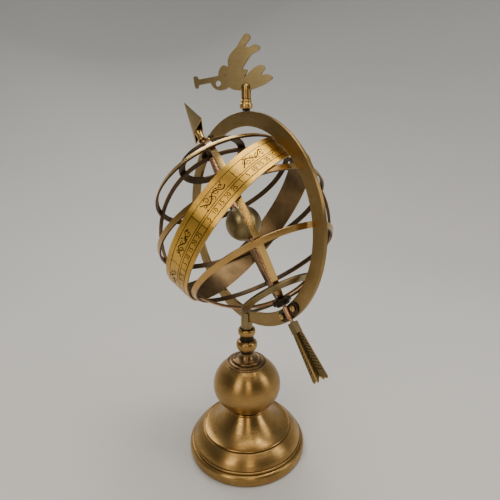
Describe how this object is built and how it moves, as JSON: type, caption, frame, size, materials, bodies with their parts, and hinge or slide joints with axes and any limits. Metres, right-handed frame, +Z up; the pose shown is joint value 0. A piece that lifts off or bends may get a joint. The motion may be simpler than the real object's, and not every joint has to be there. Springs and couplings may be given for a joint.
{
  "type": "armillary sphere",
  "caption": "Brass armillary sphere: nested hoops and an engraved zodiac band on a tilted arrow shaft, inside a flat meridian ring on a turned ball stand.",
  "frame": {"origin": "centre of the felt underside, on the stand's vertical axis", "axes": "+Z up; +X in the meridian ring's plane towards the fletching; -Y towards the face of the ring that carries the arrow shaft"},
  "size_m": [0.2166, 0.1686, 0.4113],
  "materials": {
    "felt": "dark green felt",
    "plain_steel": "plain",
    "satin_brass": "turned and brushed, antiqued in the corners",
    "polished_brass": "polished",
    "aged_brass": "brown antique satin",
    "dark_bronze": "blackened",
    "coppery_brass": "reddish satin"
  },
  "bodies": {
    "stand": {"felt_pad": "felt", "base_foot": "satin_brass", "base_washer": "plain_steel", "tie_rod": "plain_steel", "tie_rod_nut": "plain_steel", "base_ball": "satin_brass", "ball_cap": "aged_brass", "stem_knop": "aged_brass", "stem_collar": "polished_brass", "stem_fork": "aged_brass", "fork_pin": "aged_brass", "meridian_ring": "aged_brass", "polar_rod": "coppery_brass", "clamp_north": "dark_bronze", "clamp_south": "dark_bronze", "clamp_screw_1": "polished_brass", "clamp_screw_2": "polished_brass", "clamp_screw_3": "polished_brass", "clamp_screw_4": "polished_brass", "arrow_head": "satin_brass", "fletching": "aged_brass", "centre_ball": "satin_brass", "sleeve_north": "coppery_brass", "sleeve_south": "coppery_brass", "finial_stud": "dark_bronze"},
    "cage": {"colure_a": "polished_brass", "colure_b": "coppery_brass", "equator": "satin_brass", "tropic_north": "polished_brass", "tropic_south": "polished_brass", "polar_circle_north": "aged_brass", "polar_circle_south": "aged_brass", "zodiac_band": "polished_brass", "hub_north": "dark_bronze", "hub_south": "dark_bronze"},
    "finial": {"finial_collar": "polished_brass", "finial_post": "satin_brass", "finial_figure": "satin_brass"}
  },
  "joints": [
    {"name": "cage_spin", "type": "hinge", "parent": "stand", "child": "cage", "pos_m": [0, -0.0036, 0.25], "axis": [-0.682, 0, 0.7314], "continuous": true},
    {"name": "finial_swivel", "type": "hinge", "parent": "stand", "child": "finial", "pos_m": [0, 0, 0.35], "axis": [0, 0, 1], "continuous": true}
  ]
}
